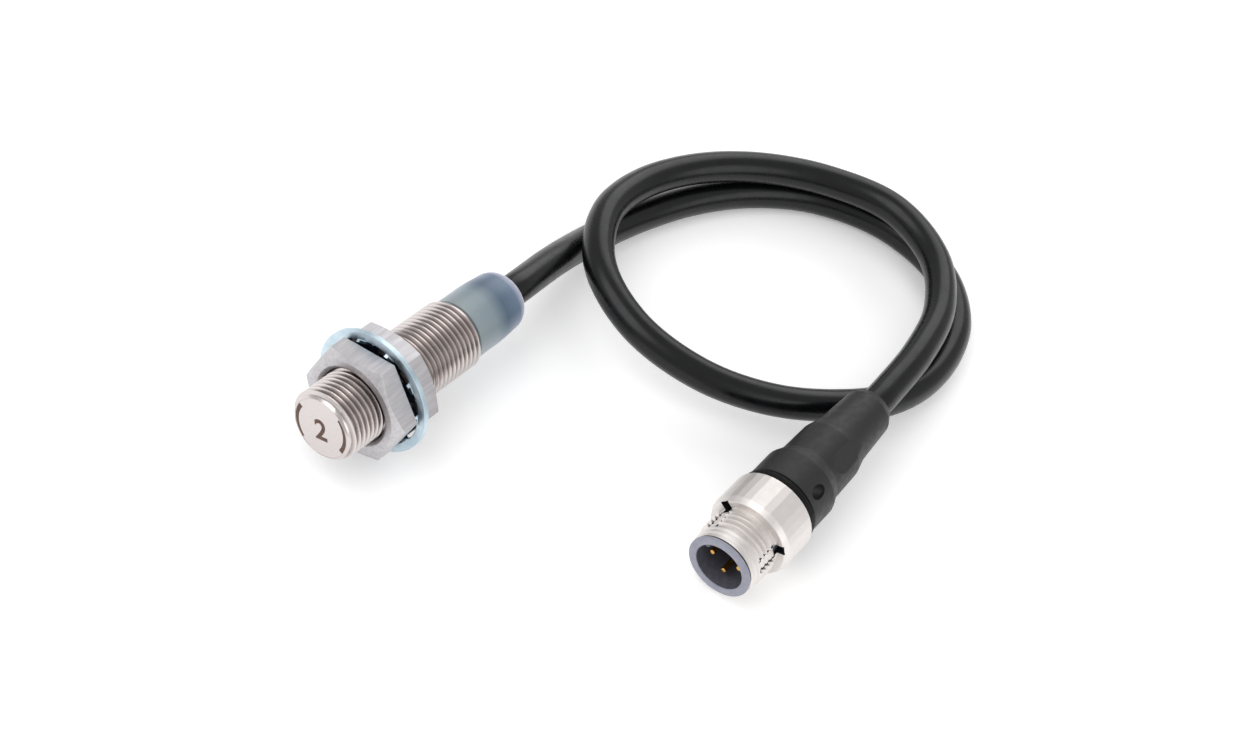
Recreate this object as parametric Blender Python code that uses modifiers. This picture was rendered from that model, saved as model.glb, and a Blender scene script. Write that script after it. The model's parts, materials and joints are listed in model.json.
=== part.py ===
# Cylindrical M12 proximity sensor with a short cable and an M12 plug.
# Metres, +Z up.  The sensor lies along X with its sensing face towards -X, resting on the rim
# of its lock washer at z = 0.  The origin is under the middle of the sensor.

import math

import bmesh
import bpy
from mathutils import Matrix, Vector

MM = 0.001
GAP = 0.3 * MM                      # clearance between neighbouring pieces
FULL_TURN = 2 * math.pi
FINE_STEPS = 48                     # facets round a large turned piece
SMALL_STEPS = 24                    # facets round a small turned piece
SMOOTH_ANGLE = math.radians(20)     # edges flatter than this are shaded smooth

# Sensor barrel
THREAD_DIAMETER = 12.0 * MM
BARREL_LENGTH = 30.9 * MM
BARREL_WALL = 1.1 * MM
FACE_THICKNESS = 0.8 * MM
FRONT_CHAMFER = 0.85 * MM
REAR_CHAMFER = 0.3 * MM

# Nuts and lock washer
NUT_WALL = 2.5 * MM                 # thread to the flats
NUT_THICKNESS = 4.0 * MM
NUT_CHAMFER_ANGLE = math.radians(30)
NUT_FACE_SHARE = 0.95               # bearing circle over the width across flats
NUT_COUNTERSINK = 0.6 * MM
FRONT_NUT_PLACE = 6.7 * MM          # sensing face to the nut's front face
FRONT_NUT_TURN = math.radians(-15)
REAR_NUT_TURN = math.radians(-10)
WASHER_OVERHANG = 2.0 * MM          # how far its rim stands beyond the nuts' flats
WASHER_RING = 1.4 * MM              # width of the ring outside the teeth
WASHER_THICKNESS = 0.9 * MM
WASHER_STAND_OFF = 0.85 * MM        # front nut to the ring
TOOTH_COUNT = 10
TOOTH_WIDTH = 2.2 * MM
TOOTH_THICKNESS = 0.7 * MM
TOOTH_TWIST = math.radians(18)
TOOTH_FORWARD = 0.3 * MM
TOOTH_TURN = math.radians(11)
TOOTH_ROOT = 0.3 * MM               # how far a tooth reaches into the ring

# Coil and electronics
CORE_LENGTH = 3.4 * MM
CORE_POST = 3.6 * MM
CORE_WALL = 0.6 * MM
CORE_FLOOR = 0.8 * MM
BOBBIN_WALL = 0.35 * MM
HOLDER_LENGTH = 2.2 * MM
HOLDER_HOLE = 1.6 * MM
BOARD_MARGIN = 0.8 * MM             # board's edge to the bore
BOARD_THICKNESS = 1.0 * MM
BOARD_END = 4.7 * MM                # barrel's rear edge to the end of the wide part
TAIL_WIDTH = 3.4 * MM
TAIL_LENGTH = 7.2 * MM
# part: distance behind the board's front edge, offset across it, length, width, height, side
BOARD_PARTS = {
    "oscillator_chip": (4.0, 0.0, 3.0, 3.2, 0.9, 1),
    "output_transistor": (10.5, 1.4, 2.9, 1.6, 1.0, 1),
    "supply_capacitor": (10.5, -2.0, 2.0, 1.3, 0.9, 1),
    "protection_diode": (15.4, 1.4, 2.6, 1.5, 1.0, 1),
    "trim_resistor": (5.0, 0.0, 1.6, 0.9, 0.5, -1),
    "filter_capacitor": (12.0, 0.0, 2.0, 1.3, 0.9, -1),
}
LED_PLACE = 1.2 * MM                # tail's end to the middle of the lamp
LED_SIZE = (0.6 * MM, 0.8 * MM, 1.6 * MM)

# Rear cap
CAP_STEP_IN = 0.6 * MM              # how far its side stands inside the thread's diameter
CAP_LENGTH = 12.3 * MM              # outside the barrel
CAP_SKIRT_LENGTH = 2.9 * MM
CAP_WALL = 0.7 * MM
CAP_STRAIGHT = 5.6 * MM
CAP_TAPER = 0.3 * MM                # taken off the radius where its end begins to round
CAP_END_ROUND = 2.4 * MM
CAP_END_DROP = 1.2 * MM             # how much the rounding takes off the radius
CAP_END_WALL = 4.2 * MM
SEAL_SECTION = 1.0 * MM
RESIN_LENGTH = 4.2 * MM
RESIN_CLEARANCE = 0.63 * MM         # round the board's tail
CRIMP_LENGTH = 1.8 * MM
JACKET_INSIDE_CAP = 6.5 * MM

# Cable
CABLE_DIAMETER = 5.4 * MM
CABLE_POINT_SPACING = 6.5 * MM
CABLE_LEAD = 4.0 * MM               # straight length outside the cap and the boot
WIRE_DIAMETER = 0.9 * MM
WIRE_COLOURS = ("brown", "black", "blue")
WIRE_PITCH = 1.25 * MM
WIRE_CIRCLE = 1.5 * MM              # diameter of the circle of wires in the jacket
# Centreline from the cap, in mm: distance behind the cap's end, sideways, height above the floor
CABLE_ROUTE = (
    (15.5, 1.1, 7.8), (27.4, 1.8, 4.2), (39.7, 0.6, 2.85), (51.7, -2.8, 2.8), (62.6, -8.4, 2.8),
    (71.8, -16.8, 2.8), (77.2, -28.3, 2.9), (76.1, -40.9, 3.3), (68.1, -50.0, 3.6),
    (56.1, -53.8, 3.7), (43.9, -52.9, 4.3), (32.8, -47.5, 5.4), (23.3, -39.5, 6.4),
    (16.6, -29.3, 7.8), (14.3, -17.2, 9.3), (18.3, -5.8, 10.4), (28.3, 1.3, 10.3),
    (40.4, 2.6, 9.1), (52.3, -0.8, 8.6), (62.5, -7.6, 8.6), (70.5, -17.1, 8.8), (74.4, -28.7, 9.6),
    (70.6, -40.3, 10.1), (60.9, -47.9, 10.7), (49.0, -51.4, 11.1),
)

# Plug, measured from its mating face
PLUG_BEHIND_CAP = -10.75 * MM       # the plug's face, measured like the cable's route
PLUG_SIDEWAYS = -55.1 * MM
PLUG_YAW = math.radians(2.8)
PLUG_TILT = math.radians(5.0)
INSULATOR_LIP = 0.75 * MM           # its flange beyond its body
INSULATOR_FLANGE_LENGTH = 0.55 * MM
INSULATOR_LENGTH = 16.5 * MM
SOCKET_WALL = 0.65 * MM
SOCKET_DEPTH = 7.0 * MM
REAR_POCKET_WALL = 1.25 * MM
REAR_POCKET_DEPTH = 4.2 * MM
KEY_WIDTH = 0.9 * MM
KEY_HEIGHT = 0.65 * MM
KEY_SETBACK = 0.4 * MM
KEY_TURN = math.radians(125)
PIN_DIAMETER = 1.0 * MM
PIN_CIRCLE = 5.0 * MM
PIN_SETBACK = 1.7 * MM
PIN_TAIL = 1.0 * MM                 # how far a pin reaches into the rear pocket
PIN_TIP = 0.25 * MM
PIN_COUNT = 4
PIN_TURN = math.radians(80)
COLLAR_WALL = 0.85 * MM
COLLAR_FRONT = 0.85 * MM
COLLAR_THREAD_END = 6.5 * MM
COLLAR_UNDERCUT_DEPTH = 0.45 * MM
COLLAR_GRIP_FRONT = 7.3 * MM
COLLAR_GRIP_HEIGHT = 1.35 * MM      # grip ring beyond the thread
COLLAR_REAR = 15.0 * MM
COLLAR_CHAMFER = 0.5 * MM
SLOT_COUNT = 3
SLOT_TURN = math.radians(3)
SLOT_WIDTH = 2.4 * MM
SLOT_START = 3.5 * MM
SLOT_DEPTH = 0.35 * MM
WINDOW_LENGTH = 2.0 * MM            # each slot ends in a window, half of it in the grip
WINDOW_ROOF = 0.45 * MM             # left of the grip ring above a window
PLUG_SEAL_STEP = 0.5 * MM           # seal inside the grip ring's diameter
MOULD_LENGTH = 7.2 * MM
MOULD_HOLE = 4.4 * MM
GRIP_STEP = 0.75 * MM               # grip inside the collar ring's diameter
GRIP_WIDE_END = 22.4 * MM
GRIP_NECK_START = 24.6 * MM
GRIP_NECK_DROP = 0.85 * MM          # from the grip's wide part to its neck
GRIP_NECK_END = 31.2 * MM
GRIP_NECK_TAPER = 0.2 * MM
BOOT_START = 34.2 * MM
BOOT_DIAMETER = 9.6 * MM
BOOT_TAPER_END = 42.2 * MM
BOOT_END_DIAMETER = 8.5 * MM
BOOT_END = 43.8 * MM
BOOT_MOUTH_WALL = 0.4 * MM
JACKET_INSIDE_PLUG = 15.0 * MM

# Sizes that follow
NUT_ACROSS_FLATS = THREAD_DIAMETER + 2 * NUT_WALL
WASHER_DIAMETER = NUT_ACROSS_FLATS + 2 * WASHER_OVERHANG
WASHER_HOLE = WASHER_DIAMETER - 2 * WASHER_RING
AXIS_HEIGHT = WASHER_DIAMETER / 2
THREAD_RADIUS = THREAD_DIAMETER / 2
BORE_RADIUS = THREAD_RADIUS - BARREL_WALL
INSERT_RADIUS = BORE_RADIUS - GAP
BOARD_WIDTH = 2 * (BORE_RADIUS - BOARD_MARGIN)
CABLE_RADIUS = CABLE_DIAMETER / 2
CABLE_HOLE = CABLE_RADIUS + GAP
WIRE_RADIUS = WIRE_DIAMETER / 2
CAP_DIAMETER = THREAD_DIAMETER - 2 * CAP_STEP_IN
CAP_END_DIAMETER = CAP_DIAMETER - 2 * CAP_TAPER
CAP_FRONT = BARREL_LENGTH + GAP
CAP_REAR = CAP_FRONT + CAP_LENGTH
CAP_CAVITY = INSERT_RADIUS - CAP_WALL
SENSOR_MIDDLE = CAP_REAR / 2
NUT_HOLE = THREAD_RADIUS + GAP
WASHER_PLACE = FRONT_NUT_PLACE + NUT_THICKNESS + WASHER_STAND_OFF
REAR_NUT_PLACE = WASHER_PLACE + WASHER_THICKNESS + GAP
COLLAR_HOLE = THREAD_RADIUS - COLLAR_WALL
INSULATOR_DIAMETER = 2 * (COLLAR_HOLE - GAP)
INSULATOR_FLANGE = INSULATOR_DIAMETER + 2 * INSULATOR_LIP
SOCKET_DIAMETER = INSULATOR_DIAMETER - 2 * SOCKET_WALL
REAR_POCKET_DIAMETER = INSULATOR_DIAMETER - 2 * REAR_POCKET_WALL
COLLAR_UNDERCUT = THREAD_DIAMETER - 2 * COLLAR_UNDERCUT_DEPTH
COLLAR_GRIP_DIAMETER = THREAD_DIAMETER + 2 * COLLAR_GRIP_HEIGHT
PLUG_SEAL_DIAMETER = COLLAR_GRIP_DIAMETER - 2 * PLUG_SEAL_STEP
GRIP_DIAMETER = COLLAR_GRIP_DIAMETER - 2 * GRIP_STEP
GRIP_NECK_DIAMETER = GRIP_DIAMETER - 2 * GRIP_NECK_DROP
GRIP_NECK_END_DIAMETER = GRIP_NECK_DIAMETER - 2 * GRIP_NECK_TAPER
PLUG_HEIGHT = (COLLAR_GRIP_DIAMETER / 2 * math.cos(PLUG_TILT)
               - (COLLAR_GRIP_FRONT + COLLAR_CHAMFER) * math.sin(PLUG_TILT))

# finish: colour, metallic, roughness
FINISHES = {
    "stainless": ((0.62, 0.58, 0.55), 1.0, 0.30),
    "nickel": ((0.80, 0.79, 0.77), 1.0, 0.20),
    "zinc": ((0.70, 0.78, 0.82), 1.0, 0.28),
    "gold": ((0.83, 0.62, 0.30), 1.0, 0.22),
    "copper": ((0.72, 0.36, 0.18), 1.0, 0.30),
    "tin": ((0.66, 0.67, 0.68), 1.0, 0.35),
    "ferrite": ((0.07, 0.07, 0.08), 0.0, 0.60),
    "board_green": ((0.02, 0.16, 0.07), 0.0, 0.45),
    "chip_black": ((0.03, 0.03, 0.03), 0.0, 0.50),
    "ceramic_tan": ((0.55, 0.42, 0.28), 0.0, 0.50),
    "led_amber": ((0.90, 0.45, 0.05), 0.0, 0.25),
    "resin_clear": ((0.55, 0.60, 0.64), 0.0, 0.35),
    "cap_frosted": ((0.50, 0.60, 0.68), 0.0, 0.35),
    "nylon_white": ((0.75, 0.75, 0.72), 0.0, 0.50),
    "insulator_grey": ((0.42, 0.42, 0.50), 0.0, 0.45),
    "jacket_black": ((0.03, 0.03, 0.03), 0.0, 0.42),
    "grip_black": ((0.05, 0.05, 0.05), 0.0, 0.55),
    "rubber_black": ((0.02, 0.02, 0.02), 0.0, 0.70),
    "wire_brown": ((0.20, 0.08, 0.03), 0.0, 0.45),
    "wire_black": ((0.03, 0.03, 0.03), 0.0, 0.45),
    "wire_blue": ((0.03, 0.13, 0.42), 0.0, 0.45),
}


def clear_scene():
    for obj in list(bpy.data.objects):
        bpy.data.objects.remove(obj, do_unlink=True)


def new_collection(name):
    group = bpy.data.collections.new(name)
    bpy.context.scene.collection.children.link(group)
    return group


def add_material(obj, finish):
    colour, metallic, roughness = FINISHES[finish]
    material = bpy.data.materials.new(f"{obj.name}_{finish}")
    material.use_nodes = True
    shader = material.node_tree.nodes["Principled BSDF"]
    shader.inputs["Base Color"].default_value = (*colour, 1.0)
    shader.inputs["Metallic"].default_value = metallic
    shader.inputs["Roughness"].default_value = roughness
    obj.data.materials.append(material)


def add_piece(name, data, frame, finish):
    """Make one sub-part in the frame of a parent empty, or a cutter where finish is None."""
    obj = bpy.data.objects.new(name, data)
    if finish is None:
        cutters.objects.link(obj)
        obj.hide_render = True
        obj.display_type = "WIRE"
    else:
        pieces.objects.link(obj)
        add_material(obj, finish)
    obj.parent = frame
    return obj


def add_frame(name, place, turn):
    empty = bpy.data.objects.new(name, None)
    empty.location = place
    empty.rotation_euler = turn
    pieces.objects.link(empty)
    return empty


def turned(name, profile, frame, finish, steps=SMALL_STEPS):
    """Turn a profile of (radius, distance along the axis) into a solid or a ring."""
    area = sum(r1 * s2 - r2 * s1 for (r1, s1), (r2, s2) in zip(profile, profile[1:] + profile[:1]))
    if area > 0:
        profile = profile[::-1]
    count = len(profile)
    on_axis = [point[0] == 0 for point in profile]
    edges = [(i, (i + 1) % count) for i in range(count) if not (on_axis[i] and on_axis[(i + 1) % count])]
    mesh = bpy.data.meshes.new(name)
    mesh.from_pydata([(radius, 0, along) for radius, along in profile], edges, [])
    obj = add_piece(name, mesh, frame, finish)
    screw = obj.modifiers.new("turn", "SCREW")
    screw.axis = "Z"
    screw.angle = FULL_TURN
    screw.steps = steps
    screw.render_steps = steps
    screw.use_merge_vertices = True
    screw.merge_threshold = 0.00001
    screw.use_smooth_shade = False
    return obj


def ring(name, inner, outer, start, end, frame, finish, steps=SMALL_STEPS):
    return turned(name, [(outer, start), (outer, end), (inner, end), (inner, start)], frame, finish, steps)


def fill_blocks(mesh, blocks):
    """Fill a mesh with blocks, each a size and a matrix."""
    form = bmesh.new()
    for size, matrix in blocks:
        bmesh.ops.create_cube(form, size=1.0, matrix=matrix @ Matrix.Diagonal((*size, 1.0)))
    form.to_mesh(mesh)
    form.free()


def block(name, size, centre, frame, finish):
    mesh = bpy.data.meshes.new(name)
    fill_blocks(mesh, [(size, Matrix.Translation(centre))])
    return add_piece(name, mesh, frame, finish)


def cutter_blocks(name, frame, blocks):
    mesh = bpy.data.meshes.new(name)
    fill_blocks(mesh, blocks)
    return add_piece(name, mesh, frame, None)


def combine(obj, tool, operation):
    modifier = obj.modifiers.new(operation.lower(), "BOOLEAN")
    modifier.operation = operation
    modifier.solver = "EXACT"
    modifier.object = tool


def tube(name, points, radius, resolution, frame, finish):
    curve = bpy.data.curves.new(name, "CURVE")
    curve.dimensions = "3D"
    curve.bevel_depth = radius
    curve.bevel_resolution = resolution
    curve.use_fill_caps = True
    spline = curve.splines.new("POLY")
    spline.points.add(len(points) - 1)
    for spot, point in zip(spline.points, points):
        spot.co = (*point, 1.0)
    return add_piece(name, curve, frame, finish)


def smooth_by_angle():
    """Node group that shades a piece smooth, except across its sharp edges."""
    group = bpy.data.node_groups.new("smooth_by_angle", "GeometryNodeTree")
    for direction in ("INPUT", "OUTPUT"):
        group.interface.new_socket("Geometry", in_out=direction, socket_type="NodeSocketGeometry")
    start = group.nodes.new("NodeGroupInput")
    end = group.nodes.new("NodeGroupOutput")
    angle = group.nodes.new("GeometryNodeInputMeshEdgeAngle")
    flat = group.nodes.new("FunctionNodeCompare")
    flat.operation = "LESS_THAN"
    flat.inputs["B"].default_value = SMOOTH_ANGLE
    faces = group.nodes.new("GeometryNodeSetShadeSmooth")
    edges = group.nodes.new("GeometryNodeSetShadeSmooth")
    edges.domain = "EDGE"
    group.links.new(start.outputs["Geometry"], faces.inputs["Geometry"])
    group.links.new(faces.outputs["Geometry"], edges.inputs["Geometry"])
    group.links.new(angle.outputs["Unsigned Angle"], flat.inputs["A"])
    group.links.new(flat.outputs["Result"], edges.inputs["Shade Smooth"])
    group.links.new(edges.outputs["Geometry"], end.inputs["Geometry"])
    return group


def around(radius, angle, along):
    return Vector((radius * math.cos(angle), radius * math.sin(angle), along))


def build_barrel(frame):
    chamfered = THREAD_RADIUS - FRONT_CHAMFER
    turned("sensor_barrel", [
        (0, 0), (chamfered, 0), (THREAD_RADIUS, FRONT_CHAMFER),
        (THREAD_RADIUS, BARREL_LENGTH - REAR_CHAMFER), (THREAD_RADIUS - REAR_CHAMFER, BARREL_LENGTH),
        (BORE_RADIUS, BARREL_LENGTH), (BORE_RADIUS, FACE_THICKNESS), (0, FACE_THICKNESS),
    ], frame, "stainless", FINE_STEPS)


def build_coil(frame):
    """Pot core behind the face, with a wound bobbin in its groove and a holder behind it."""
    front = FACE_THICKNESS + GAP
    floor = front + CORE_LENGTH - CORE_FLOOR
    post = CORE_POST / 2
    groove = INSERT_RADIUS - CORE_WALL
    turned("ferrite_core", [
        (0, front), (post, front), (post, floor), (groove, floor), (groove, front),
        (INSERT_RADIUS, front), (INSERT_RADIUS, front + CORE_LENGTH), (0, front + CORE_LENGTH),
    ], frame, "ferrite")
    hub = post + GAP
    rim = groove - GAP
    rear = floor - GAP
    turned("coil_bobbin", [
        (hub, front), (rim, front), (rim, front + BOBBIN_WALL), (hub + BOBBIN_WALL, front + BOBBIN_WALL),
        (hub + BOBBIN_WALL, rear - BOBBIN_WALL), (rim, rear - BOBBIN_WALL), (rim, rear), (hub, rear),
    ], frame, "nylon_white")
    margin = BOBBIN_WALL + GAP
    ring("coil_winding", hub + margin, rim, front + margin, rear - margin, frame, "copper")
    holder_front = front + CORE_LENGTH + GAP
    ring("core_holder", HOLDER_HOLE / 2, INSERT_RADIUS, holder_front, holder_front + HOLDER_LENGTH,
         frame, "nylon_white")
    return holder_front + HOLDER_LENGTH + GAP


def build_board(frame, board_front):
    board_rear = BARREL_LENGTH - BOARD_END
    wide = board_rear - board_front
    board = block("circuit_board", (BOARD_THICKNESS, BOARD_WIDTH, wide),
                  (0, 0, board_front + wide / 2), frame, "board_green")
    tail = block("board_tail_shape", (BOARD_THICKNESS, TAIL_WIDTH, TAIL_LENGTH * 2),
                 (0, 0, board_rear), frame, None)
    combine(board, tail, "UNION")
    ceramic = ("supply_capacitor", "filter_capacitor")
    for name, (behind, across, length, width, height, side) in BOARD_PARTS.items():
        lift = BOARD_THICKNESS / 2 + GAP + height * MM / 2
        block(name, (height * MM, width * MM, length * MM),
              (-side * lift, across * MM, board_front + behind * MM), frame,
              "ceramic_tan" if name in ceramic else "chip_black")
    tail_end = board_rear + TAIL_LENGTH
    lift = BOARD_THICKNESS / 2 + GAP + LED_SIZE[0] / 2
    block("indicator_led", LED_SIZE, (-lift, 0, tail_end - LED_PLACE), frame, "led_amber")
    return tail_end


def build_nut(name, place, turn, outward, frame):
    """Hexagon nut, chamfered on the side that faces outward (1 or -1 along the axis).

    A six-sided bar is intersected with its turned envelope.
    """
    corner = NUT_ACROSS_FLATS / 2 / math.cos(math.pi / 6)
    bearing = NUT_ACROSS_FLATS / 2 * NUT_FACE_SHARE
    beyond = corner + MM
    drop = (beyond - bearing) * math.tan(NUT_CHAMFER_ANGLE)
    bar = bmesh.new()
    bmesh.ops.create_cone(bar, cap_ends=True, segments=6, radius1=corner, radius2=corner,
                          depth=NUT_THICKNESS + 2 * MM)
    mesh = bpy.data.meshes.new(name)
    bar.to_mesh(mesh)
    bar.free()
    nut = add_piece(name, mesh, frame, "stainless")
    nut.location = (0, 0, place + NUT_THICKNESS / 2)
    nut.rotation_euler = (0, 0, turn)
    half = NUT_THICKNESS / 2
    profile = [
        (NUT_HOLE + NUT_COUNTERSINK, half), (bearing, half), (beyond, half - drop), (beyond, -half),
        (NUT_HOLE + NUT_COUNTERSINK, -half), (NUT_HOLE, NUT_COUNTERSINK - half),
        (NUT_HOLE, half - NUT_COUNTERSINK),
    ]
    envelope = turned(f"{name}_envelope", [(radius, along * outward) for radius, along in profile],
                      nut, None, FINE_STEPS)
    combine(nut, envelope, "INTERSECT")


def build_washer(frame):
    """Internal tooth lock washer, its teeth twisted towards the front nut."""
    inner = WASHER_HOLE / 2
    washer = ring("lock_washer", inner, WASHER_DIAMETER / 2, WASHER_PLACE, WASHER_PLACE + WASHER_THICKNESS,
                  frame, "zinc", FINE_STEPS)
    tip = NUT_HOLE + GAP / 3
    length = inner + TOOTH_ROOT - tip
    middle = WASHER_PLACE + WASHER_THICKNESS / 2 - TOOTH_FORWARD
    teeth = []
    for number in range(TOOTH_COUNT):
        matrix = (Matrix.Rotation(TOOTH_TURN + number * FULL_TURN / TOOTH_COUNT, 4, "Z")
                  @ Matrix.Translation((tip + length / 2, 0, middle))
                  @ Matrix.Rotation(TOOTH_TWIST, 4, "X"))
        teeth.append(((length, TOOTH_WIDTH, TOOTH_THICKNESS), matrix))
    combine(washer, cutter_blocks("washer_teeth_shape", frame, teeth), "UNION")


def build_cap(frame, tail_end):
    """Translucent rear cap with its seal, filling resin and cable crimp."""
    skirt_front = BARREL_LENGTH - CAP_SKIRT_LENGTH
    outer = CAP_DIAMETER / 2
    end = CAP_END_DIAMETER / 2
    straight_end = CAP_FRONT + CAP_STRAIGHT
    round_start = CAP_REAR - CAP_END_ROUND
    step = CAP_REAR - CAP_END_WALL
    steepest = math.radians(75)
    rounding = []
    for part in range(1, 6):
        angle = steepest * part / 5
        rounding.append((end - CAP_END_DROP * (1 - math.cos(angle)) / (1 - math.cos(steepest)),
                         round_start + CAP_END_ROUND * math.sin(angle) / math.sin(steepest)))
    turned("rear_cap", [
        (CAP_CAVITY, skirt_front), (INSERT_RADIUS, skirt_front), (INSERT_RADIUS, CAP_FRONT),
        (outer, CAP_FRONT), (outer, straight_end), ((outer * 2 + end) / 3, (straight_end + round_start) / 2),
        (end, round_start), *rounding, (CABLE_HOLE, CAP_REAR), (CABLE_HOLE, step), (CAP_CAVITY, step),
    ], frame, "cap_frosted", FINE_STEPS)
    seal_radius = SEAL_SECTION / 2
    seal_middle = skirt_front - GAP - seal_radius
    circle = []
    for number in range(12):
        angle = number * FULL_TURN / 12
        circle.append((INSERT_RADIUS - seal_radius + seal_radius * math.cos(angle),
                       seal_middle + seal_radius * math.sin(angle)))
    turned("cap_seal", circle, frame, "rubber_black")
    jacket_end = CAP_REAR - JACKET_INSIDE_CAP
    resin_end = jacket_end - GAP
    resin_outer = CAP_CAVITY - GAP
    resin_hole = math.hypot(TAIL_WIDTH, BOARD_THICKNESS) / 2 + RESIN_CLEARANCE
    ring("potting_resin", resin_hole, resin_outer, resin_end - RESIN_LENGTH, resin_end, frame, "resin_clear")
    crimp_front = step - GAP - CRIMP_LENGTH
    ring("cable_crimp", CABLE_HOLE, CAP_CAVITY - GAP, crimp_front, crimp_front + CRIMP_LENGTH, frame, "tin")
    for number, colour in enumerate(WIRE_COLOURS):
        bunch = around(WIRE_CIRCLE / 2, number * FULL_TURN / 3 - math.pi / 2, jacket_end - GAP)
        landing = Vector((0, (number - 1) * WIRE_PITCH, tail_end + GAP))
        middle = (bunch + landing) / 2
        tube(f"sensor_wire_{colour}", [landing, middle, bunch], WIRE_RADIUS, 2, frame, f"wire_{colour}")


def build_insulator(frame):
    """Grey contact carrier: socket with a key in front, pocket for the wires behind."""
    body = INSULATOR_DIAMETER / 2
    floor_rear = INSULATOR_LENGTH - REAR_POCKET_DEPTH
    insulator = turned("contact_insulator", [
        (SOCKET_DIAMETER / 2, 0), (INSULATOR_FLANGE / 2, 0), (INSULATOR_FLANGE / 2, INSULATOR_FLANGE_LENGTH),
        (body, INSULATOR_FLANGE_LENGTH), (body, INSULATOR_LENGTH),
        (REAR_POCKET_DIAMETER / 2, INSULATOR_LENGTH),
        (REAR_POCKET_DIAMETER / 2, floor_rear), (0, floor_rear), (0, SOCKET_DEPTH),
        (SOCKET_DIAMETER / 2, SOCKET_DEPTH),
    ], frame, "insulator_grey", FINE_STEPS)
    buried = (INSULATOR_DIAMETER - SOCKET_DIAMETER) / 4
    length = SOCKET_DEPTH - KEY_SETBACK + buried
    middle = ((SOCKET_DIAMETER - KEY_HEIGHT + buried) / 2, 0, KEY_SETBACK + length / 2)
    place = Matrix.Rotation(KEY_TURN, 4, "Z") @ Matrix.Translation(middle)
    key = cutter_blocks("key_shape", frame, [((KEY_HEIGHT + buried, KEY_WIDTH, length), place)])
    combine(insulator, key, "UNION")
    pin_radius = PIN_DIAMETER / 2
    rear = floor_rear + PIN_TAIL
    for number in range(PIN_COUNT):
        centre = around(PIN_CIRCLE / 2, PIN_TURN + number * FULL_TURN / PIN_COUNT, 0)
        hole = turned(f"pin_hole_shape_{number + 1}", [
            (0, SOCKET_DEPTH - MM), (pin_radius + GAP, SOCKET_DEPTH - MM),
            (pin_radius + GAP, floor_rear + MM), (0, floor_rear + MM)], frame, None)
        hole.location = centre
        combine(insulator, hole, "DIFFERENCE")
        pin = turned(f"contact_pin_{number + 1}", [
            (0, PIN_SETBACK), (pin_radius - PIN_TIP, PIN_SETBACK), (pin_radius, PIN_SETBACK + PIN_TIP),
            (pin_radius, rear), (0, rear)], frame, "gold")
        pin.location = centre
    return rear


def build_collar(frame):
    """Coupling collar that spins on the insulator, with windows at the thread's end."""
    grip = COLLAR_GRIP_DIAMETER / 2
    lead = COLLAR_FRONT + COLLAR_CHAMFER
    collar = turned("coupling_collar", [
        (COLLAR_HOLE, COLLAR_FRONT), (THREAD_RADIUS - COLLAR_CHAMFER, COLLAR_FRONT), (THREAD_RADIUS, lead),
        (THREAD_RADIUS, COLLAR_THREAD_END), (COLLAR_UNDERCUT / 2, COLLAR_THREAD_END),
        (COLLAR_UNDERCUT / 2, COLLAR_GRIP_FRONT), (grip - COLLAR_CHAMFER, COLLAR_GRIP_FRONT),
        (grip, COLLAR_GRIP_FRONT + COLLAR_CHAMFER), (grip, COLLAR_REAR - COLLAR_CHAMFER / 2),
        (grip - COLLAR_CHAMFER / 2, COLLAR_REAR), (COLLAR_HOLE, COLLAR_REAR),
    ], frame, "nickel", FINE_STEPS)
    slot_floor = THREAD_RADIUS - SLOT_DEPTH
    slot_end = COLLAR_GRIP_FRONT - WINDOW_LENGTH / 4
    slot_size = (2 * SLOT_DEPTH + MM, SLOT_WIDTH, slot_end - SLOT_START)
    slot_middle = (slot_floor + slot_size[0] / 2, 0, (slot_end + SLOT_START) / 2)
    window_bottom = COLLAR_HOLE - MM
    window_top = grip - WINDOW_ROOF
    window_size = (window_top - window_bottom, SLOT_WIDTH - GAP, WINDOW_LENGTH)
    window_middle = ((window_top + window_bottom) / 2, 0, COLLAR_GRIP_FRONT)
    slots = []
    windows = []
    for number in range(SLOT_COUNT):
        turn = Matrix.Rotation(SLOT_TURN + number * FULL_TURN / SLOT_COUNT, 4, "Z")
        slots.append((slot_size, turn @ Matrix.Translation(slot_middle)))
        windows.append((window_size, turn @ Matrix.Translation(window_middle)))
    combine(collar, cutter_blocks("slot_shape", frame, slots), "DIFFERENCE")
    combine(collar, cutter_blocks("window_shape", frame, windows), "DIFFERENCE")


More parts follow.
